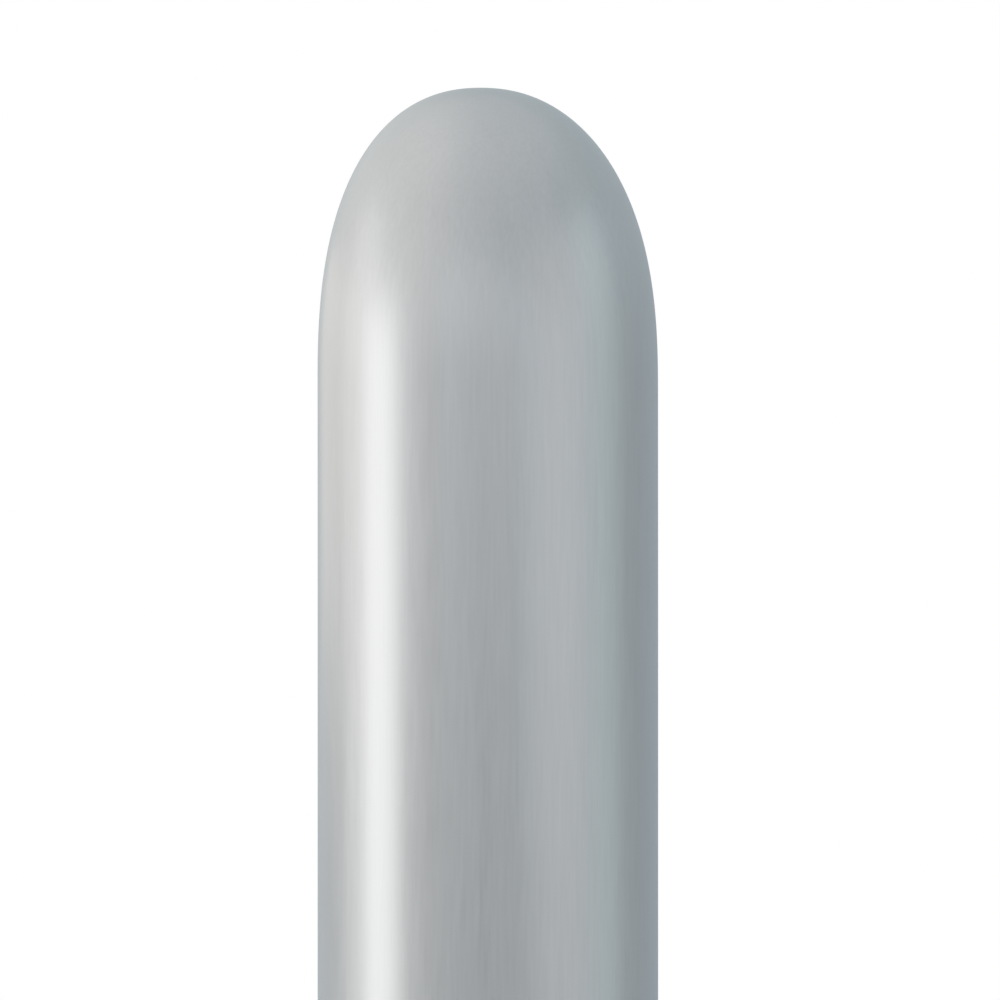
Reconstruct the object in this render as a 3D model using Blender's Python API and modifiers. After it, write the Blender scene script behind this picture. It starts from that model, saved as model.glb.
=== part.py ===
"""A modelling balloon of the 2 inch by 60 inch size, blown up and knotted, in metres, +Z up.

The origin is at the throat, where the neck runs into the knot. The tube stands up from there
to its domed, closed end, and the knot and the loose nozzle lie below it.
"""

import bpy
import numpy as np
from mathutils import Matrix, Vector

# The inflated body
TUBE_RADIUS = 0.0254
BODY_LENGTH = 1.524
FILM = 0.0003
GAP = 0.0003

# The closed end is a superellipse, a little fuller than a half ball and leaning to -X at its crown
DOME_HEIGHT = 0.0445
DOME_POWER_ALONG = 2.5
DOME_POWER_ACROSS = 2.2
DOME_RINGS = 12
CROWN_LEAN = 0.0011
LEAN_REACH = 0.057

# The shoulder and the neck are one curve from the tube down to the throat
THROAT_RADIUS = 0.0020
SHOULDER_HEIGHT = 0.070
SHOULDER_FULLNESS = 2.2
NECK_HOLLOW = 1.8
NECK_TOP = 0.016
THROAT_BELOW = 0.002
SHOULDER_RINGS = 10
NECK_RINGS = 8
TUBE_SECTIONS = 8

# The knot is the neck tied once, as a cord of twisted film that plugs the throat and the nozzle.
# Its half height, and the lengths it is worked out with below, are in strand radii
STRAND_RADIUS = THROAT_RADIUS - FILM - GAP
HALF_HEIGHT = 4.7
KNOT_CENTRE = Vector((0, 0, -THROAT_BELOW - HALF_HEIGHT * STRAND_RADIUS))
KNOT_POINTS = 64

# The loose end leaves the knot at a slant, with its flat mouth turned about its own length
NOZZLE_TILT = np.radians(32)
NOZZLE_TURN = np.radians(35)
NOZZLE_START = HALF_HEIGHT * STRAND_RADIUS
NOZZLE_LENGTH = 0.022
NOZZLE_EASE = 1.3
MOUTH_HALF_WIDTH = 0.0052
MOUTH_HALF_DEPTH = 0.0021
NOZZLE_RINGS = 9
BEAD_RADIUS = 0.0009
BEAD_POINTS = 32

STEPS_ROUND = 36
STEPS_SMALL = 24

SILVER = (0.42, 0.44, 0.45, 1)
DEEP_SILVER = (0.25, 0.26, 0.27, 1)

# The loose knot: the two radii of its trefoil, the turn it is opened by, and how many times
# further out than the pulled ones its ends start
LOOP_RADIUS = 4.5
LOOP_DEPTH = 2.5
LOOP_OPENING = 0.35
SLACK = 2.2
LOOSE_POINTS = 60

# The pull: how near two stretches of the strand may come, from what length along it they count
# as two, how far its ends reach from the middle and how much of each is held straight
STRANDS_APART = 2.22
STRETCH_APART = 3.5
PULL_REACH = 8.0
HELD_LENGTH = 3.4

# Each round evens the spacing and takes out a little bend, then cuts the length by a share until
# the knot is so tight that the strand stretches
EVENING = 0.45
STRAIGHTENING = 0.04
CUT_SHARE = 0.002
TIGHT_STRETCH = 1.15
ROUNDS = 1500
PASSES = 4


def clear_scene():
    for item in list(bpy.data.objects):
        bpy.data.objects.remove(item, do_unlink=True)


def satin(name, colour, roughness):
    material = bpy.data.materials.new(name)
    material.use_nodes = True
    shader = material.node_tree.nodes["Principled BSDF"]
    shader.inputs["Base Color"].default_value = colour
    shader.inputs["Metallic"].default_value = 0.4
    shader.inputs["Roughness"].default_value = roughness
    return material


def add_object(name, data, material, collection):
    item = bpy.data.objects.new(name, data)
    data.materials.clear()
    data.materials.append(material)
    collection.objects.link(item)
    return item


def baked_mesh(item):
    """The object's mesh with its modifiers applied, as a mesh of its own; the object goes."""
    graph = bpy.context.evaluated_depsgraph_get()
    mesh = bpy.data.meshes.new_from_object(item.evaluated_get(graph))
    bpy.data.objects.remove(item)
    return mesh


def turned_film(name, outline, steps, move, material, collection):
    """A film turned about Z from its outer outline, top to bottom, then moved point by point."""
    profile = bpy.data.meshes.new(name)
    edges = [(i, i + 1) for i in range(len(outline) - 1)]
    profile.from_pydata([(radius, 0, z) for radius, z in outline], edges, [])
    turned = add_object(name + "_profile", profile, material, collection)
    screw = turned.modifiers.new("turn", "SCREW")
    screw.steps = screw.render_steps = steps
    screw.use_merge_vertices = True
    screw.merge_threshold = 0.00001
    mesh = baked_mesh(turned)
    mesh.name = name
    for vertex in mesh.vertices:
        vertex.co = move(vertex.co)
    mesh.shade_smooth()
    film = add_object(name, mesh, material, collection)
    wall = film.modifiers.new("film", "SOLIDIFY")
    wall.thickness = FILM
    wall.offset = -1
    wall.use_even_offset = True
    return film


def shoulder_radius(z):
    """Outer radius of the neck and shoulder at a height above the throat."""
    rise = min(max(z / SHOULDER_HEIGHT, 0), 1)
    bulge = (1 - (1 - rise) ** SHOULDER_FULLNESS) ** NECK_HOLLOW
    return THROAT_RADIUS + (TUBE_RADIUS - THROAT_RADIUS) * bulge


def lean(point):
    """Moves a point of the domed end sideways, most at the crown."""
    below_crown = (BODY_LENGTH - point.z) / LEAN_REACH
    shift = CROWN_LEAN * max(0, 1 - below_crown) ** 3
    return point - Vector((shift, 0, 0))


def unmoved(point):
    return point


def dome_outline():
    turns = np.linspace(np.pi / 2, 0, DOME_RINGS + 1)
    radii = TUBE_RADIUS * np.cos(turns) ** (2 / DOME_POWER_ACROSS)
    heights = DOME_HEIGHT * np.sin(turns) ** (2 / DOME_POWER_ALONG)
    radii[0] = 0
    return list(zip(radii, BODY_LENGTH - DOME_HEIGHT + heights))


def envelope(material, collection):
    tube = np.linspace(BODY_LENGTH - DOME_HEIGHT, SHOULDER_HEIGHT, TUBE_SECTIONS + 1)
    shoulder = np.linspace(SHOULDER_HEIGHT, NECK_TOP, SHOULDER_RINGS + 1)
    outline = dome_outline()
    outline += [(TUBE_RADIUS, z) for z in tube[1:]]
    outline += [(shoulder_radius(z), z) for z in shoulder[1:]]
    return turned_film("envelope", outline, STEPS_ROUND, lean, material, collection)


def neck(material, collection):
    outline = [(shoulder_radius(z), z) for z in np.linspace(NECK_TOP - GAP, 0, NECK_RINGS + 1)]
    outline.append((THROAT_RADIUS, -THROAT_BELOW))
    return turned_film("neck", outline, STEPS_ROUND, unmoved, material, collection)


def along_nozzle():
    """Turns a shape that hangs down -Z from the origin into line with the loose end."""
    slant = Matrix.Rotation(NOZZLE_TILT, 4, "Y")
    return Matrix.Translation(KNOT_CENTRE) @ slant @ Matrix.Rotation(NOZZLE_TURN, 4, "Z")


def path_length(points):
    return np.linalg.norm(np.diff(points, axis=0), axis=1).sum()


def evenly(points, count):
    """The same path as points an equal distance apart."""
    steps = np.linalg.norm(np.diff(points, axis=0), axis=1)
    travelled = np.concatenate([[0], np.cumsum(steps)])
    stops = np.linspace(0, travelled[-1], count)
    return np.stack([np.interp(stops, travelled, column) for column in points.T], 1)


def loose_knot(up, down):
    """An open trefoil: up from its first lobe and down from its last one, in strand radii."""
    turn = np.linspace(LOOP_OPENING, 2 * np.pi - LOOP_OPENING, 200)
    out = LOOP_RADIUS + LOOP_DEPTH * np.cos(3 * turn)
    lobes = [-out * np.cos(2 * turn), LOOP_DEPTH * np.sin(3 * turn), out * np.sin(2 * turn)]
    lobes = np.stack(lobes, 1)
    share = np.linspace(0, 1, 60, endpoint=False)[:, None]
    lead_in = SLACK * up + (lobes[0] - SLACK * up) * share
    lead_out = SLACK * down + (lobes[-1] - SLACK * down) * share[::-1]
    return evenly(np.concatenate([lead_in, lobes, lead_out]), LOOSE_POINTS)


def push_apart(points, spacing):
    """Moves stretches of the strand that lie too near each other half the way apart each."""
    first, second = np.triu_indices(len(points), round(STRETCH_APART / spacing) + 1)
    between = points[second] - points[first]
    distance = np.linalg.norm(between, axis=1)
    near = distance < STRANDS_APART
    push = between[near] * ((STRANDS_APART / distance[near] - 1) / 2)[:, None]
    move = np.zeros_like(points)
    count = np.zeros(len(points))
    for ends, sign in ((first[near], -1), (second[near], 1)):
        np.add.at(move, ends, sign * push)
        np.add.at(count, ends, 1)
    points += move / np.maximum(count, 1)[:, None]


def even_out(points, spacing):
    """Pulls neighbouring points back to their spacing and straightens the strand a little."""
    steps = np.diff(points, axis=0)
    lengths = np.linalg.norm(steps, axis=1, keepdims=True)
    pull = EVENING * steps * (1 - spacing / lengths)
    points[:-1] += pull
    points[1:] -= pull
    to_straight = (points[:-2] + points[2:]) / 2 - points[1:-1]
    points[1:-1] += STRAIGHTENING * to_straight


def knot_path():
    """The overhand knot pulled tight: its length is cut until the strand bears on itself."""
    up = np.array((0, 0, PULL_REACH))
    down = PULL_REACH * np.array(along_nozzle().to_3x3() @ Vector((0, 0, -1)))
    points = loose_knot(up, down)
    length = path_length(points)
    for _ in range(ROUNDS):
        spacing = length / (LOOSE_POINTS - 1)
        held = np.arange(0, HELD_LENGTH + spacing / 2, spacing)[:, None] / PULL_REACH
        for _ in range(PASSES):
            push_apart(points, spacing)
            even_out(points, spacing)
            points[: len(held)] = up * (1 - held)
            points[-len(held) :] = (down * (1 - held))[::-1]
        if path_length(points) < TIGHT_STRETCH * length:
            length *= 1 - CUT_SHARE
    return evenly(points, KNOT_POINTS)


def tube_along(name, points, radius, closed, material, collection):
    curve = bpy.data.curves.new(name, "CURVE")
    curve.dimensions = "3D"
    curve.bevel_depth = radius
    curve.bevel_resolution = 3
    curve.use_fill_caps = not closed
    spline = curve.splines.new("POLY")
    spline.points.add(len(points) - 1)
    for spot, point in zip(spline.points, points):
        spot.co = (*point, 1)
    spline.use_cyclic_u = closed
    return add_object(name, curve, material, collection)


def knot(material, collection):
    points = [KNOT_CENTRE + Vector(point) * STRAND_RADIUS for point in knot_path()]
    return tube_along("knot", points, STRAND_RADIUS, False, material, collection)


def nozzle_share(down):
    """How far the loose end has opened out, from 0 at its root to 1 at its mouth."""
    along = min(max((down - NOZZLE_START) / NOZZLE_LENGTH, 0), 1)
    eased = along**NOZZLE_EASE
    return eased * (2 - eased)


def nozzle(material, collection):
    """The loose end: round at its root, and opening to a flat oval mouth."""

    def flatten(point):
        opened = nozzle_share(-point.z)
        wide = 1 + (MOUTH_HALF_WIDTH / THROAT_RADIUS - 1) * opened
        deep = 1 + (MOUTH_HALF_DEPTH / THROAT_RADIUS - 1) * opened
        return place @ Vector((point.x * wide, point.y * deep, point.z))

    place = along_nozzle()
    stops = np.linspace(NOZZLE_START, NOZZLE_START + NOZZLE_LENGTH, NOZZLE_RINGS + 1)
    outline = [(THROAT_RADIUS, -down) for down in stops]
    return turned_film("nozzle", outline, STEPS_SMALL, flatten, material, collection)


def rolled_lip(material, collection):
    """The bead round the outside of the mouth, an even distance outside its oval."""
    place = along_nozzle()
    down = NOZZLE_START + NOZZLE_LENGTH - BEAD_RADIUS
    out = GAP + BEAD_RADIUS
    ring = []
    for turn in np.linspace(0, 2 * np.pi, BEAD_POINTS, endpoint=False):
        on_mouth = Vector((MOUTH_HALF_WIDTH * np.cos(turn), MOUTH_HALF_DEPTH * np.sin(turn), 0))
        away = Vector((MOUTH_HALF_DEPTH * np.cos(turn), MOUTH_HALF_WIDTH * np.sin(turn), 0))
        ring.append(place @ (on_mouth + away.normalized() * out - Vector((0, 0, down))))
    return tube_along("rolled_lip", ring, BEAD_RADIUS, True, material, collection)


def main():
    clear_scene()
    collection = bpy.data.collections.new("modelling_balloon")
    bpy.context.scene.collection.children.link(collection)
    stretched = satin("stretched_latex", SILVER, 0.3)
    thick = satin("thick_latex", DEEP_SILVER, 0.45)
    envelope(stretched, collection)
    neck(stretched, collection)
    for piece in (knot, nozzle, rolled_lip):
        piece(thick, collection)


main()
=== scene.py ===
# %% [markdown]
# # A modelling balloon, blown up and knotted
# The balloon is one long latex tube. A Blender picture of it needs very little geometry, so the
# work goes into two things: a skin that is perfectly smooth where the film is stretched, and soft
# lights whose reflections draw the long streaks that tell the eye that it is satin and round.
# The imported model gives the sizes, and every piece below is built in its frame, in metres.

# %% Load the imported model
import math

import bmesh
import bpy
import numpy as np
from mathutils import Matrix, Vector


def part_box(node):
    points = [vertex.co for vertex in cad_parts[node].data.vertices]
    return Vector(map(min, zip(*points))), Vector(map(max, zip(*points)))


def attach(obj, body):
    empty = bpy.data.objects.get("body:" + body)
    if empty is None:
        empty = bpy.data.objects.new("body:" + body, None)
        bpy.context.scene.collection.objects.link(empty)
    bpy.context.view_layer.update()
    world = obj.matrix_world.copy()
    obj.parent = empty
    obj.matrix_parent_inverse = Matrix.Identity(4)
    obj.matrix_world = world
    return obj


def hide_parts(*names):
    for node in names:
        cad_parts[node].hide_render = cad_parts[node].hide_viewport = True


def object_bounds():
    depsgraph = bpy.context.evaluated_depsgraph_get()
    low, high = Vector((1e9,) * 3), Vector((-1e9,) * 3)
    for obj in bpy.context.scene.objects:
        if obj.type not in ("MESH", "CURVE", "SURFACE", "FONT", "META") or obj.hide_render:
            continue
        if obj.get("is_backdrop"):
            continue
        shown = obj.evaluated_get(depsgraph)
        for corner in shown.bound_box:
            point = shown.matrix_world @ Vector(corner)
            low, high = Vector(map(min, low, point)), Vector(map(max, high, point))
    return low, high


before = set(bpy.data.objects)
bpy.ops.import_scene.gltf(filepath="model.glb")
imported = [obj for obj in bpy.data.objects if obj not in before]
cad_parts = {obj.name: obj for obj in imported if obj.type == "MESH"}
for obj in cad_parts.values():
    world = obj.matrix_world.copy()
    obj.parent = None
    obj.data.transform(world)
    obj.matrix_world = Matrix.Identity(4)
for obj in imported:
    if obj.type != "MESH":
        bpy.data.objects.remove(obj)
cad_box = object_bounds()
print("nodes:", ", ".join(sorted(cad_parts)))

# %% [markdown]
# ## Sizes
# The tube's radius and the height of its crown are read from the model. The closed end isn't a
# half ball: latex stretches evenly, so the end keeps the shape of the mould it was dipped on,
# a little longer than wide. A superellipse says that with two powers. The crown also leans a
# millimetre to the left, as hand-dipped ends do.

# %% Sizes of the blown-up body
low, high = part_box("envelope")
TUBE_RADIUS = high.y
CROWN = high.z
THROAT_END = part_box("neck")[0].z
FILM = 0.0003

DOME_HEIGHT = 0.0445
DOME_POWER_ALONG = 2.5
DOME_POWER_ACROSS = 2.2
CROWN_LEAN = 0.0011
LEAN_REACH = 0.057

THROAT_RADIUS = 0.0020
SHOULDER_HEIGHT = 0.070
SHOULDER_FULLNESS = 2.2
NECK_HOLLOW = 1.8
print(f"tube {2000 * TUBE_RADIUS:.1f} mm across, crown {CROWN:.3f} m above the throat")

# %% [markdown]
# ## Camera
# The tube's sides are parallel in the picture, so the camera was far away with a long lens, level
# with the balloon. The tube is 340.5 of the picture's 1000 columns wide, which gives the width of
# what the camera sees, and the lens then gives its distance.

# %% Camera
PICTURE = 1000
TUBE_COLUMNS = 340.5
TUBE_MIDDLE_COLUMN = 487.9
CROWN_ROW = 87.95
LENS = 300
SENSOR = 36

metres_per_pixel = 2 * TUBE_RADIUS / TUBE_COLUMNS
camera_data = bpy.data.cameras.new("camera")
camera_data.lens = LENS
camera_data.sensor_width = SENSOR
camera_data.clip_start = 0.05
camera_data.clip_end = 100
camera = bpy.data.objects.new("camera", camera_data)
camera.location = (
    (PICTURE / 2 - TUBE_MIDDLE_COLUMN) * metres_per_pixel,
    -PICTURE * metres_per_pixel * LENS / SENSOR,
    CROWN - (PICTURE / 2 - CROWN_ROW) * metres_per_pixel,
)
camera.rotation_euler = (math.radians(90), 0, 0)
bpy.context.scene.collection.objects.link(camera)
bpy.context.scene.camera = camera
print("camera at", [round(value, 4) for value in camera.location])

# %% [markdown]
# ## Shader maths as Python
# A material is a graph of nodes, and long graphs are hard to read in code. This small class wraps
# one output socket, so that `1 - mask * 0.3` adds its Math nodes by itself. Anything that isn't
# arithmetic comes from `node`, which sets a node's settings first and its sockets afterwards.


# %% Shader maths as Python
class Value:
    def __init__(self, tree, socket):
        self.tree = tree
        self.socket = socket

    def node(self, kind, settings=None, sockets=None, output=0):
        made = self.tree.nodes.new(kind)
        for name, setting in (settings or {}).items():
            setattr(made, name, setting)
        for name, given in (sockets or {}).items():
            if isinstance(given, Value):
                self.tree.links.new(given.socket, made.inputs[name])
            else:
                made.inputs[name].default_value = given
        return Value(self.tree, made.outputs[output])

    def math(self, operation, first, second):
        return self.node("ShaderNodeMath", {"operation": operation}, {0: first, 1: second})

    def __add__(self, other):
        return self.math("ADD", self, other)

    def __radd__(self, other):
        return self.math("ADD", other, self)

    def __sub__(self, other):
        return self.math("SUBTRACT", self, other)

    def __rsub__(self, other):
        return self.math("SUBTRACT", other, self)

    def __mul__(self, other):
        return self.math("MULTIPLY", self, other)

    def __rmul__(self, other):
        return self.math("MULTIPLY", other, self)

    def at_least(self, least):
        return self.math("MAXIMUM", self, least)

    def between(self, start, end):
        """0 up to start, 1 from end, and smooth between them."""
        settings = {"interpolation_type": "SMOOTHSTEP"}
        sockets = {"Value": self, "From Min": start, "From Max": end}
        return self.node("ShaderNodeMapRange", settings, sockets)

    def noise(self, scale, detail=2.0, roughness=0.5):
        """Noise round 0, read at this vector, from about -0.5 to 0.5."""
        sockets = {"Vector": self, "Scale": scale, "Detail": detail, "Roughness": roughness}
        return self.node("ShaderNodeTexNoise", None, sockets) - 0.5

    def stretched(self, scale):
        """This vector with each of its directions scaled by its own number."""
        return self.node("ShaderNodeMapping", None, {"Vector": self, "Scale": scale})

    def part(self, axis):
        return self.node("ShaderNodeSeparateXYZ", None, {"Vector": self}, "XYZ".index(axis))

    def tint(self, dark, light):
        """A colour from dark, where this is 0, to light, where it is 1."""
        dark, light = (c if isinstance(c, Value) else (*c, 1) for c in (dark, light))
        return self.node("ShaderNodeMix", {"data_type": "RGBA"}, {"Factor": self, 6: dark, 7: light}, 2)

    def bump(self, height):
        """A normal for a surface that stands up by a height in metres where this is 1."""
        return self.node("ShaderNodeBump", None, {"Height": self, "Distance": height})


def new_material(name):
    """A material, its shader and its Object coordinates as a Value."""
    material = bpy.data.materials.new(name)
    material.use_nodes = True
    tree = material.node_tree
    shader = tree.nodes["Principled BSDF"]
    coordinates = tree.nodes.new("ShaderNodeTexCoord")
    return material, shader, Value(tree, coordinates.outputs["Object"])


def feed(shader, name, value):
    value.tree.links.new(value.socket, shader.inputs[name])


# %% [markdown]
# ## Satin latex, stretched
# Satin silver latex is rubber full of fine pearl flakes that lie along the film. It isn't a
# mirror and isn't matt either, so it is mixed from both: partly metallic, with a middling
# roughness and a thin, smoother coat for the rubber's own surface. Stretching draws the pigment
# out into faint streaks along the tube, which are noise read at coordinates squeezed along Z.
# Towards the throat the film hardly stretches, so it stays thick: darker, duller and finely
# wrinkled. The height above the throat tells the material how far it has stretched.

# %% Satin latex, stretched
DEEP_SILVER = (0.20, 0.21, 0.22)
WORN_SILVER = (0.27, 0.28, 0.29)

stretched_latex, shader, place = new_material("stretched_latex")
streaks = place.stretched((2400, 2400, 110)).noise(1.0, 2.0)
wide_streaks = place.stretched((420, 420, 9)).noise(1.0)
thick = 1 - place.part("Z").between(0.002, 0.075)
tone = 0.5 + 0.9 * streaks + 0.4 * wide_streaks
thin_tint = tone.tint((0.395, 0.415, 0.428), (0.455, 0.478, 0.492))
thick_tint = (0.5 + streaks).tint(DEEP_SILVER, WORN_SILVER)
wrinkles = place.stretched((1500, 1500, 220)).noise(1.0, 3.0) + place.noise(2200, 4.0, 0.6)
feed(shader, "Base Color", thick.tint(thin_tint, thick_tint))
feed(shader, "Roughness", 0.34 + 0.06 * wide_streaks + 0.10 * streaks + 0.05 * thick)
feed(shader, "Normal", (thick * thick * wrinkles).bump(0.00010))
shader.inputs["Metallic"].default_value = 0.45
shader.inputs["Coat Weight"].default_value = 0.15
shader.inputs["Coat Roughness"].default_value = 0.22
print(stretched_latex.name, "takes", len(stretched_latex.node_tree.nodes), "nodes")

# %% [markdown]
# ## Thick latex
# The knot and the loose end have never been stretched. The same pigment lies closer together
# there, so it looks darker, and handling has rubbed it duller. The powder that keeps latex from
# sticking to itself stays in the hollows, which noise of two sizes stands for.

# %% Thick latex
thick_latex, shader, place = new_material("thick_latex")
grain = place.noise(2200, 4.0, 0.6)
smears = place.noise(260, 2.0)
feed(shader, "Base Color", (0.5 + 0.8 * grain + 0.7 * smears).tint(DEEP_SILVER, WORN_SILVER))
feed(shader, "Roughness", 0.38 + 0.16 * smears + 0.10 * grain)
feed(shader, "Normal", grain.bump(0.00011))
shader.inputs["Metallic"].default_value = 0.45
shader.inputs["Coat Weight"].default_value = 0.12
shader.inputs["Coat Roughness"].default_value = 0.25
print(thick_latex.name, "takes", len(thick_latex.node_tree.nodes), "nodes")

# %% [markdown]
# ## The skin
# Body, shoulder and neck are one piece of film, so they are one mesh: half an outline, spun round
# the Z axis. Spinning gives rings that are exactly round, which matters, because a reflection
# shows a dent far smaller than an outline does. The outline closes in on the knot at its end.


# %% The skin's outline
def dome_outline(rings):
    turns = np.linspace(math.pi / 2, 0, rings + 1)
    radii = TUBE_RADIUS * np.cos(turns) ** (2 / DOME_POWER_ACROSS)
    heights = DOME_HEIGHT * np.sin(turns) ** (2 / DOME_POWER_ALONG)
    radii[0] = 0
    return list(zip(radii, CROWN - DOME_HEIGHT + heights))


def shoulder_radius(z):
    rise = min(max(z / SHOULDER_HEIGHT, 0), 1)
    bulge = (1 - (1 - rise) ** SHOULDER_FULLNESS) ** NECK_HOLLOW
    return THROAT_RADIUS + (TUBE_RADIUS - THROAT_RADIUS) * bulge


def smooth(value):
    """0 up to 0, 1 from 1, and smooth between them."""
    value = np.clip(value, 0, 1)
    return value * value * (3 - 2 * value)


TUCK_START = THROAT_END + 0.0008
TUCK_END = THROAT_END - 0.0005
TUCK_SHARE = 0.25
outline = dome_outline(64)
outline += [(TUBE_RADIUS, z) for z in np.linspace(CROWN - DOME_HEIGHT, SHOULDER_HEIGHT, 50)[1:]]
outline += [(shoulder_radius(z), z) for z in np.linspace(SHOULDER_HEIGHT, 0, 90)[1:]]
for z in np.linspace(0, TUCK_END, 16)[1:]:
    tucked = smooth((TUCK_START - z) / (TUCK_START - TUCK_END))
    outline.append((THROAT_RADIUS * (1 - TUCK_SHARE * tucked), z))

# %% [markdown]
# ## Pleats
# Tying gathers the neck into pleats that open out up the shoulder. A pleat is a rounded ridge
# between two sharp creases, which is what the absolute value of a cosine gives. Two slow waves
# added to the angle make the pleats uneven. They only go inwards, so the film keeps its width.


# %% Pleats
def crease(turn, folds, shift):
    """0 on the ridge of each fold and 1 in the crease beside it, for angles round the film."""
    uneven = turn + 0.16 * np.sin(2 * turn + 1.0) + 0.10 * np.sin(3 * turn + 2.5)
    return (1 - abs(np.cos(folds * uneven / 2 + shift))) ** 1.5


# %% Spin the skin
PLEATS = 8
PLEAT_DEPTH = 0.00048
PLEATED_HEIGHT = 0.038
PLEAT_TWIST = 60


def spun(outline, steps):
    bm = bmesh.new()
    verts = [bm.verts.new((radius, 0, z)) for radius, z in outline]
    edges = [bm.edges.new(pair) for pair in zip(verts, verts[1:])]
    bmesh.ops.spin(
        bm, geom=verts + edges, cent=(0, 0, 0), axis=(0, 0, 1), angle=math.tau, steps=steps,
        use_merge=True,
    )
    bmesh.ops.remove_doubles(bm, verts=bm.verts, dist=1e-6)
    bmesh.ops.recalc_face_normals(bm, faces=bm.faces)
    return bm


def finish_piece(name, bm, material, slot, *nodes):
    mesh = bpy.data.meshes.new(name)
    bm.to_mesh(mesh)
    bm.free()
    mesh.shade_smooth()
    mesh.materials.append(material)
    piece = bpy.data.objects.new(name, mesh)
    bpy.context.scene.collection.objects.link(piece)
    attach(piece, "root")
    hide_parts(*nodes)
    print(name, len(mesh.vertices), "points,", len(mesh.polygons), "faces")
    return piece


def give_film(piece):
    """Gives a surface the film's thickness, inwards."""
    wall = piece.modifiers.new("film", "SOLIDIFY")
    wall.thickness = FILM
    wall.offset = -1


bm = spun(outline, 144)
for vert in bm.verts:
    below_crown = (CROWN - vert.co.z) / LEAN_REACH
    vert.co.x -= CROWN_LEAN * max(0, 1 - below_crown) ** 3
    if vert.co.z < PLEATED_HEIGHT:
        turn = math.atan2(vert.co.y, vert.co.x)
        depth = PLEAT_DEPTH * smooth(1 - vert.co.z / PLEATED_HEIGHT)
        depth *= crease(turn, PLEATS, PLEAT_TWIST * vert.co.z)
        shrink = 1 - depth / vert.co.xy.length
        vert.co.x *= shrink
        vert.co.y *= shrink
skin = finish_piece("skin", bm, stretched_latex, "stretched_latex", "envelope", "neck")
give_film(skin)

# %% [markdown]
# ## The knot's path
# An overhand knot drawn by hand never looks tied. So the script ties it: it starts from a loose
# trefoil, and in many small rounds it shortens the strand, pushes apart any two stretches that
# touch, and evens out the spacing, until the knot is tight. All lengths are in strand radii.

# %% The knot's path
STRAND_RADIUS = THROAT_RADIUS - 2 * FILM
HALF_HEIGHT = 4.7
KNOT_CENTRE = Vector((0, 0, THROAT_END - HALF_HEIGHT * STRAND_RADIUS))
NOZZLE_TILT = math.radians(32)
NOZZLE_TURN = math.radians(35)
LOOP_RADIUS = 4.5
LOOP_DEPTH = 2.5
LOOP_OPENING = 0.35
SLACK = 2.2
LOOSE_POINTS = 60
STRANDS_APART = 2.22
STRETCH_APART = 3.5
PULL_REACH = 8.0
HELD_LENGTH = 3.4
EVENING = 0.45
STRAIGHTENING = 0.04
CUT_SHARE = 0.002
TIGHT_STRETCH = 1.15
ROUNDS = 1500
PASSES = 4

slant = Matrix.Rotation(NOZZLE_TILT, 4, "Y")
along_nozzle = Matrix.Translation(KNOT_CENTRE) @ slant @ Matrix.Rotation(NOZZLE_TURN, 4, "Z")


def path_length(points):
    return np.linalg.norm(np.diff(points, axis=0), axis=1).sum()


def evenly(points, count):
    """The same path as points an equal distance apart."""
    steps = np.linalg.norm(np.diff(points, axis=0), axis=1)
    travelled = np.concatenate([[0], np.cumsum(steps)])
    stops = np.linspace(0, travelled[-1], count)
    return np.stack([np.interp(stops, travelled, column) for column in points.T], 1)


def loose_knot(up, down):
    turn = np.linspace(LOOP_OPENING, math.tau - LOOP_OPENING, 200)
    out = LOOP_RADIUS + LOOP_DEPTH * np.cos(3 * turn)
    lobes = [-out * np.cos(2 * turn), LOOP_DEPTH * np.sin(3 * turn), out * np.sin(2 * turn)]
    lobes = np.stack(lobes, 1)
    share = np.linspace(0, 1, 60, endpoint=False)[:, None]
    lead_in = SLACK * up + (lobes[0] - SLACK * up) * share
    lead_out = SLACK * down + (lobes[-1] - SLACK * down) * share[::-1]
    return evenly(np.concatenate([lead_in, lobes, lead_out]), LOOSE_POINTS)


def push_apart(points, spacing):
    """Moves stretches of the strand that lie too near each other half the way apart each."""
    first, second = np.triu_indices(len(points), round(STRETCH_APART / spacing) + 1)
    between = points[second] - points[first]
    distance = np.linalg.norm(between, axis=1)
    near = distance < STRANDS_APART
    push = between[near] * ((STRANDS_APART / distance[near] - 1) / 2)[:, None]
    move = np.zeros_like(points)
    count = np.zeros(len(points))
    for ends, sign in ((first[near], -1), (second[near], 1)):
        np.add.at(move, ends, sign * push)
        np.add.at(count, ends, 1)
    points += move / np.maximum(count, 1)[:, None]


def even_out(points, spacing):
    """Pulls neighbouring points back to their spacing and straightens the strand a little."""
    steps = np.diff(points, axis=0)
    lengths = np.linalg.norm(steps, axis=1, keepdims=True)
    pull = EVENING * steps * (1 - spacing / lengths)
    points[:-1] += pull
    points[1:] -= pull
    to_straight = (points[:-2] + points[2:]) / 2 - points[1:-1]
    points[1:-1] += STRAIGHTENING * to_straight


def tied(up, down):
    points = loose_knot(up, down)
    length = path_length(points)
    for _ in range(ROUNDS):
        spacing = length / (LOOSE_POINTS - 1)
        held = np.arange(0, HELD_LENGTH + spacing / 2, spacing)[:, None] / PULL_REACH
        for _ in range(PASSES):
            push_apart(points, spacing)
            even_out(points, spacing)
            points[: len(held)] = up * (1 - held)
            points[-len(held) :] = (down * (1 - held))[::-1]
        if path_length(points) < TIGHT_STRETCH * length:
            length *= 1 - CUT_SHARE
    return points


up = np.array((0, 0, PULL_REACH))
down = PULL_REACH * np.array(along_nozzle.to_3x3() @ Vector((0, 0, -1)))
knot_path = tied(up, down)
print(f"the knot takes up {1000 * STRAND_RADIUS * path_length(knot_path):.0f} mm of strand")

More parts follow.
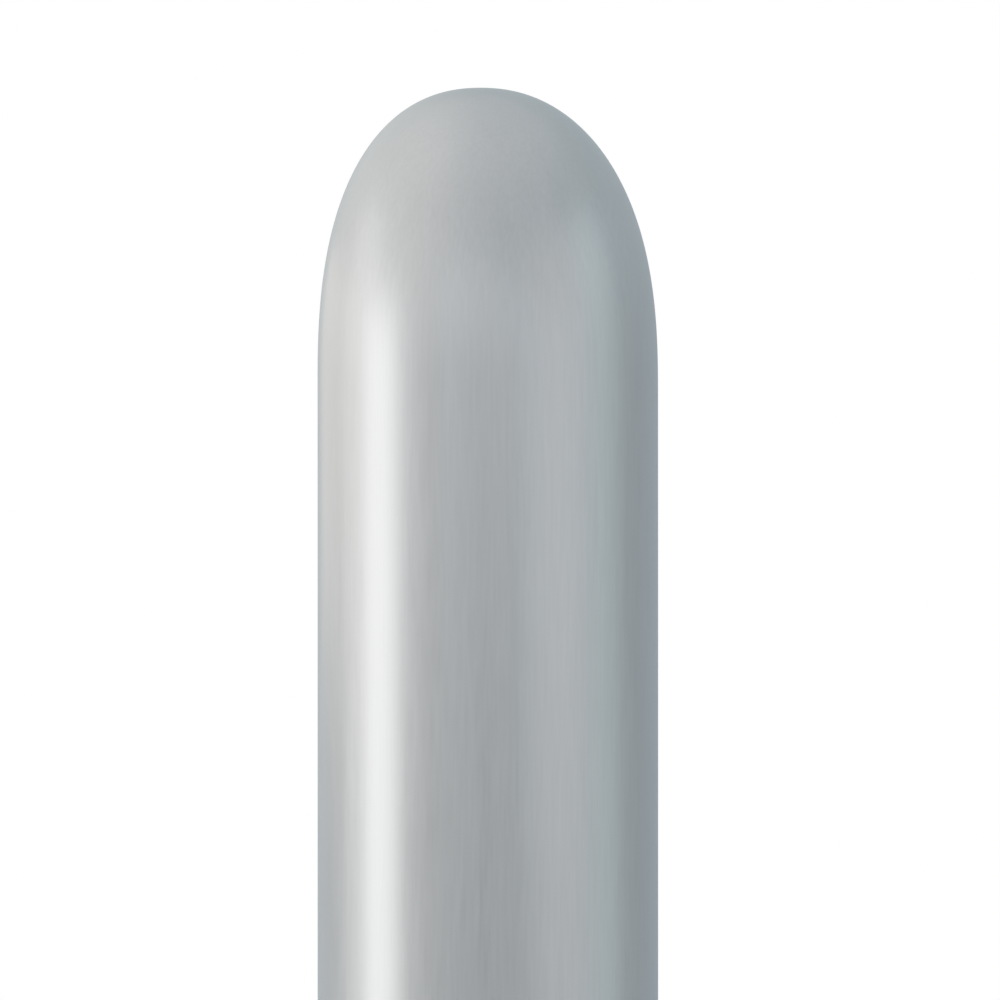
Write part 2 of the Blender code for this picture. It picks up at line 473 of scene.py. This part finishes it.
# %% [markdown]
# ## Sweeping a cross-section
# A strand, a nozzle and a bead are all rings in a row. One circle is extruded from ring to ring,
# and each new circle is moved onto the next ring. Every point carries the number of its spoke,
# which the extrusion copies, so it always knows its place in the ring.


# %% Sweeping a cross-section
def swept(rings):
    """A skin over rings, given as an array of rings, points and coordinates."""
    bm = bmesh.new()
    spoke = bm.verts.layers.int.new("spoke")
    verts = bmesh.ops.create_circle(bm, segments=rings.shape[1], radius=1)["verts"]
    for index, vert in enumerate(verts):
        vert[spoke] = index
    edges = bm.edges[:]
    for step, ring in enumerate(rings):
        if step:
            made = bmesh.ops.extrude_edge_only(bm, edges=edges)["geom"]
            verts = [item for item in made if isinstance(item, bmesh.types.BMVert)]
            edges = [item for item in made if isinstance(item, bmesh.types.BMEdge)]
            edges = [edge for edge in edges if all(vert in verts for vert in edge.verts)]
        for vert in verts:
            vert.co = ring[vert[spoke]]
    return bm


def refined(points, rounds):
    """The same path with its steps halved and its corners taken off, a few times over."""
    for _ in range(rounds):
        doubled = np.empty((2 * len(points) - 1, 3))
        doubled[::2] = points
        doubled[1::2] = (points[:-1] + points[1:]) / 2
        doubled[1:-1] = (doubled[:-2] + 2 * doubled[1:-1] + doubled[2:]) / 4
        points = doubled
    return points


def sides_along(points, side):
    """Two directions across the path at each point, which don't spin round it."""
    ahead = np.gradient(points, axis=0)
    ahead /= np.linalg.norm(ahead, axis=1, keepdims=True)
    first = []
    for way in ahead:
        side = side - way * (side @ way)
        side = side / np.linalg.norm(side)
        first.append(side)
    first = np.array(first)
    return first, np.cross(ahead, first)


# %% [markdown]
# ## The knot
# Rubber swells until it touches itself. Each ring of the strand therefore grows outwards until it
# meets the plane halfway to any other stretch of the strand, and is flat there. Elsewhere it
# stays round. The pleats of the neck run on along it as folds, twisted by the fingers and pressed
# flatter inside the knot. The angle round the strand runs the other way from the skin's, because
# the strand is followed downwards, so the folds are read at minus that angle.

# %% The knot
STRAND_SPOKES = 96
PLUMP = 1.40
SLIM = 0.60
SWELL_LENGTH = 1.2
SPARE_LENGTH = 1.8
SEAM = 1.15
END_FOLD_DEPTH = PLEAT_DEPTH / THROAT_RADIUS
FOLD_DEPTH = 0.13
FLATTENING_LENGTH = 4.5
FOLD_TWIST = 0.32
TOUCH_GAP = 0.02
CORNER = 10

centres = evenly(refined(knot_path, 2), 300)
travelled = np.linspace(0, path_length(centres), len(centres))
centres = centres[np.minimum(travelled, travelled[::-1]) > SPARE_LENGTH]
side, other_side = sides_along(centres, np.array((1.0, 0, 0)))
turns = np.linspace(0, math.tau, STRAND_SPOKES, endpoint=False)
outward = side[:, None] * np.cos(turns)[:, None] + other_side[:, None] * np.sin(turns)[:, None]

room = np.full(outward.shape[:2], 9.0)
for centre in centres:
    to_other = centre - centres
    square = (to_other**2).sum(1)
    toward = np.einsum("nmk,nk->nm", outward, to_other)
    reach = np.where(toward > 1e-6, square[:, None] / (2 * np.maximum(toward, 1e-6)), 9.0)
    reach[square < 1e-9] = 9.0
    room = np.minimum(room, reach)

travelled = np.linspace(0, path_length(centres), len(centres))
from_end = np.minimum(travelled, travelled[::-1])
plump = SLIM + (PLUMP - SLIM) * smooth(from_end / SWELL_LENGTH)
twist = PLEAT_TWIST * TUCK_START - FOLD_TWIST * (travelled - SEAM)
depth = END_FOLD_DEPTH + (FOLD_DEPTH - END_FOLD_DEPTH) * smooth(from_end / FLATTENING_LENGTH)
folds = depth[:, None] * crease(-turns, PLEATS, twist[:, None])
grown = plump[:, None] * (1 - folds)
radius = (grown**-CORNER + (room - TOUCH_GAP) ** -CORNER) ** (-1 / CORNER)
rings = centres[:, None] + outward * radius[:, :, None]
bm = swept(np.array(KNOT_CENTRE) + STRAND_RADIUS * rings)
bmesh.ops.holes_fill(bm, edges=[edge for edge in bm.edges if edge.is_boundary])
bmesh.ops.recalc_face_normals(bm, faces=bm.faces)
knot = finish_piece("knot_strand", bm, thick_latex, "thick_latex", "knot")

# %% [markdown]
# ## The loose nozzle
# Below the knot the end of the neck hangs loose. The strand's folds run on into it: the strand's
# last twist, and the way its side faces there, say where they start. They open out to a flat,
# slightly waved mouth. Its two walls nearly meet halfway down, where nothing holds
# them apart. The film's edge flares out into the rolled bead, so that no gap shows between them.

# %% The loose nozzle
NOZZLE_START = HALF_HEIGHT * STRAND_RADIUS
NOZZLE_LENGTH = 0.022
NOZZLE_EASE = 1.3
MOUTH_HALF_WIDTH = 0.0052
MOUTH_HALF_DEPTH = 0.0021
BEAD_RADIUS = 0.0009
ROOT_START = NOZZLE_START - 0.0001
ROOT_LENGTH = 0.0008
ROOT_SHARE = 0.75
NOZZLE_FOLD_DEPTH = 0.00048
NOZZLE_TWIST = 2.5
SLUMP = 0.42
WAVE = 0.00045
NOZZLE_SPOKES = 96
FILM_END = NOZZLE_START + NOZZLE_LENGTH - BEAD_RADIUS
FLARE_START = FILM_END - 0.0022
FLARE = 0.0008

facing = along_nozzle.to_3x3().inverted() @ Vector(side[-1])
root_turn = math.atan2(facing.y, facing.x)
root_twist = twist[-1] + FOLD_TWIST * SEAM

def nozzle_ring(turns, down):
    """The film's outside round the loose end, at a distance below the knot's centre."""
    along = min(max((down - NOZZLE_START) / NOZZLE_LENGTH, 0), 1)
    eased = along**NOZZLE_EASE
    opened = eased * (2 - eased)
    gathered = ROOT_SHARE + (1 - ROOT_SHARE) * smooth((down - ROOT_START) / ROOT_LENGTH)
    wide = gathered * THROAT_RADIUS + (MOUTH_HALF_WIDTH - THROAT_RADIUS) * opened
    deep = gathered * THROAT_RADIUS + (MOUTH_HALF_DEPTH - THROAT_RADIUS) * opened
    deep *= 1 - SLUMP * math.sin(math.pi * along) ** 2
    twisted = root_twist - NOZZLE_TWIST * along
    folds = NOZZLE_FOLD_DEPTH * (1 - opened) * crease(turns - root_turn, PLEATS, twisted)
    flare = FLARE * smooth((down - FLARE_START) / (FILM_END - FLARE_START))
    across = np.stack([deep * np.cos(turns), wide * np.sin(turns)])
    across /= np.linalg.norm(across, axis=0)
    x = wide * np.cos(turns) + across[0] * (flare - folds)
    y = deep * np.sin(turns) + across[1] * (flare - folds)
    y += WAVE * opened * np.sin(2.8 * np.cos(turns) + 4 * along)
    return np.stack([x, y, np.full_like(x, -down)], 1)


def hung(ring):
    """A ring of the loose end, turned into line with it."""
    return np.array([along_nozzle @ Vector(point) for point in ring])


turns = np.linspace(0, math.tau, NOZZLE_SPOKES, endpoint=False)
stops = np.linspace(ROOT_START, FILM_END, 110)
bm = swept(np.array([hung(nozzle_ring(turns, stop)) for stop in stops]))
bmesh.ops.recalc_face_normals(bm, faces=bm.faces)
nozzle = finish_piece("loose_nozzle", bm, thick_latex, "thick_latex", "nozzle")
give_film(nozzle)

# %% [markdown]
# ## The rolled lip
# Rolling the wet film back on itself leaves a bead round the mouth, which is what fingers grip
# to blow the balloon up. It follows the film's edge, waves and all. It is a little thicker in
# some places than in others, with shallow lines where one turn of film lies on the next.

# %% The rolled lip
LIP_STEPS = 160
BEAD_SPOKES = 28
UNEVENNESS = 0.06
ROLL_LINE = 0.05

around = np.linspace(0, math.tau, LIP_STEPS, endpoint=False)
edge = nozzle_ring(around, FILM_END)
ahead = np.roll(edge, -1, axis=0) - np.roll(edge, 1, axis=0)
ahead /= np.linalg.norm(ahead, axis=1, keepdims=True)
out = np.cross(ahead, (0, 0, 1.0))
lengthwise = np.cross(out, ahead)
spokes = np.linspace(0, math.tau, BEAD_SPOKES, endpoint=False)
thickness = 1 + UNEVENNESS * (np.sin(2 * around + 0.6) + np.sin(5 * around)) / 2 - UNEVENNESS
lines = 1 - ROLL_LINE * np.abs(np.cos(2.5 * spokes + 0.4)) ** 6
bead = BEAD_RADIUS * thickness[:, None] * lines
rings = edge[:, None] + out[:, None] * (bead * np.cos(spokes))[:, :, None]
rings = rings + lengthwise[:, None] * (bead * np.sin(spokes))[:, :, None]
bm = swept(np.array([hung(ring) for ring in rings]))
bmesh.ops.bridge_loops(bm, edges=[edge for edge in bm.edges if edge.is_boundary])
bmesh.ops.recalc_face_normals(bm, faces=bm.faces)
lip = finish_piece("lip_bead", bm, thick_latex, "thick_latex", "rolled_lip")

# %% [markdown]
# ## Floor
# A wide, matt, pale disc just below the loose end. It is large enough that its edge looks like a
# horizon, and an even, faint mottle keeps it from looking like a drawing.

# %% Floor
FLOOR_RADIUS = 9
FLOOR_GAP = 0.001

bm = bmesh.new()
bmesh.ops.create_circle(bm, cap_ends=True, radius=FLOOR_RADIUS, segments=96)
bmesh.ops.translate(bm, verts=bm.verts, vec=(0, 0, cad_box[0].z - FLOOR_GAP))
mesh = bpy.data.meshes.new("floor")
bm.to_mesh(mesh)
bm.free()
floor = bpy.data.objects.new("floor", mesh)
bpy.context.scene.collection.objects.link(floor)
floor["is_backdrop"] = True
floor_material, shader, place = new_material("floor")
feed(shader, "Base Color", (0.5 + place.noise(3.0)).tint((0.80, 0.80, 0.80), (0.84, 0.84, 0.84)))
shader.inputs["Roughness"].default_value = 0.8
floor.data.materials.append(floor_material)
print(f"floor {1000 * FLOOR_GAP:.0f} mm below the loose end, {2 * FLOOR_RADIUS} m across")

# %% [markdown]
# ## A light tent
# Satin shows whatever surrounds it, so such things are photographed in a tent of white cloth.
# The world does the tent's work: it glows from just below the horizon up, more from the left and
# from overhead, and warmer there, while what comes up from the floor is dim and cool. Each part
# of the glow is a mask over the direction that a ray looks in, times a colour. The camera itself
# sees plain white, as in the photo.

# %% A light tent
world = bpy.data.worlds.new("tent")
bpy.context.scene.world = world
world.use_nodes = True
tree = world.node_tree
tree.nodes.clear()
coordinates = tree.nodes.new("ShaderNodeTexCoord")
direction = Value(tree, coordinates.outputs["Generated"])
leftwards = (direction.part("X") * -1).at_least(0)
forwards = (direction.part("Y") * -1).at_least(0)
backwards = direction.part("Y").at_least(0)
height = direction.part("Z")
cloth = height.between(-0.25, 0.35)
tent = {
    "cloth": (cloth, (0.52, 0.60, 0.63)),
    "left": (cloth * leftwards, (0.88, 0.74, 0.64)),
    "front": (cloth * forwards, (0.17, 0.12, 0.11)),
    "overhead": (height.between(0.5, 1.0), (0.38, 0.32, 0.30)),
    "low_behind": ((1 - cloth) * backwards, (0.33, 0.41, 0.49)),
}
glow = None
for mask, colour in tent.values():
    part = mask.node("ShaderNodeVectorMath", {"operation": "SCALE"}, {0: colour, "Scale": mask})
    glow = part if glow is None else glow.node("ShaderNodeVectorMath", None, {0: glow, 1: part})

tent_light = tree.nodes.new("ShaderNodeBackground")
tree.links.new(glow.socket, tent_light.inputs["Color"])
backdrop = tree.nodes.new("ShaderNodeBackground")
backdrop.inputs["Color"].default_value = (1, 1, 1, 1)
path = tree.nodes.new("ShaderNodeLightPath")
mix = tree.nodes.new("ShaderNodeMixShader")
out = tree.nodes.new("ShaderNodeOutputWorld")
tree.links.new(path.outputs["Is Camera Ray"], mix.inputs["Fac"])
tree.links.new(tent_light.outputs[0], mix.inputs[1])
tree.links.new(backdrop.outputs[0], mix.inputs[2])
tree.links.new(mix.outputs[0], out.inputs[0])
bpy.context.scene.view_settings.view_transform = "Standard"
print("the tent glows with", ", ".join(tent))

# %% [markdown]
# ## Softboxes
# A softbox beside a tube shows in it as a stripe. A stripe halfway to the left edge is a light
# about 80 degrees round from the camera, because a mirror doubles the angle. Where the stripe
# fades out on the dome tells how high the light reaches. The four tall boxes stand far off, so
# that the whole tube gets its stripes. The four small ones stand close to the dome, and their
# light falls off within a hand's breadth, which darkens the tube gently from the dome down. In a
# studio the boxes would be masked towards the floor, so that they don't paint pools of light on
# it. Light linking does that here: the floor is excluded from what the boxes light.


# %% Softboxes
masked = bpy.data.collections.new("masked_from_softboxes")
masked.objects.link(floor)
masked.collection_objects[0].light_linking.link_state = "EXCLUDE"


def softbox(name, azimuth, spread, distance, low, high, glow):
    """A light that faces the tube. Azimuth and spread are degrees round it, from the front."""
    width = 2 * distance * math.tan(math.radians(spread / 2))
    brightest = max(glow)
    data = bpy.data.lights.new(name, "AREA")
    data.shape = "RECTANGLE"
    data.size = width
    data.size_y = high - low
    data.energy = brightest * width * (high - low) * math.pi
    data.color = [value / brightest for value in glow]
    light = bpy.data.objects.new(name, data)
    turn = math.radians(azimuth)
    light.location = (distance * math.sin(turn), -distance * math.cos(turn), (low + high) / 2)
    light.rotation_euler = (math.radians(90), 0, turn)
    light.visible_camera = False
    light.light_linking.receiver_collection = masked
    bpy.context.scene.collection.objects.link(light)
    return light


FAR = 2.6
NEAR = 0.5
softbox("key_stripe", -76, 27, FAR, 0.4, 1.87, (2.78, 2.68, 2.57))
softbox("key_flank", -98, 28, FAR, 0.4, 2.7, (0.67, 0.64, 0.63))
softbox("right_stripe", 52, 41, FAR, 0.4, 2.8, (0.44, 0.35, 0.34))
softbox("right_edge", 83, 29, FAR, 0.4, 2.9, (0.50, 0.61, 0.60))
softbox("dome_left", -119, 60, NEAR, 1.43, 1.575, (0.70, 0.61, 0.53))
softbox("dome_key", -62, 45, NEAR, 1.425, 1.57, (0.45, 0.40, 0.42))
softbox("dome_front", -6, 66, NEAR, 1.455, 1.655, (0.56, 0.56, 0.58))
softbox("dome_right", 43, 41, NEAR, 1.385, 1.565, (0.52, 0.59, 0.62))
print("softboxes:", ", ".join(light.name for light in bpy.data.lights))

# %% [markdown]
# ## Sizes and finish
# The lengths of the box round the imported model and of the box round what stands here now are printed
# side by side.

# %% Sizes and finish
scene_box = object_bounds()
lengths = [box[1].z - box[0].z for box in (cad_box, scene_box)]
print("length of the packed model and of the scene in metres:", [round(v, 4) for v in lengths])
